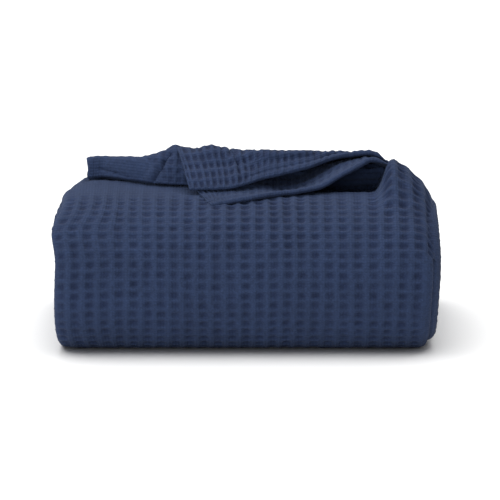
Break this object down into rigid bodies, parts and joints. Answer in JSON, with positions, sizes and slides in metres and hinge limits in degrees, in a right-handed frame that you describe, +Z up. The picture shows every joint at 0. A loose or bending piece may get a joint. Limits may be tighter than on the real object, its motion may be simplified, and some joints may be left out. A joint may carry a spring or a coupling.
{
  "type": "folded waffle blanket",
  "caption": "Waffle weave cotton blanket folded to a thick bundle, with a loose hemmed corner turned over on top.",
  "frame": {"origin": "middle of the bundle's box, on the surface that it rests on", "axes": "+X along the bundle to the right as seen from the front, -Y toward the front with the rounded folds, +Z up"},
  "size_m": [0.3844, 0.244, 0.186],
  "materials": {
    "cotton": "matte navy waffle weave"
  },
  "bodies": {
    "root": {"blanket": "cotton"}
  },
  "joints": []
}
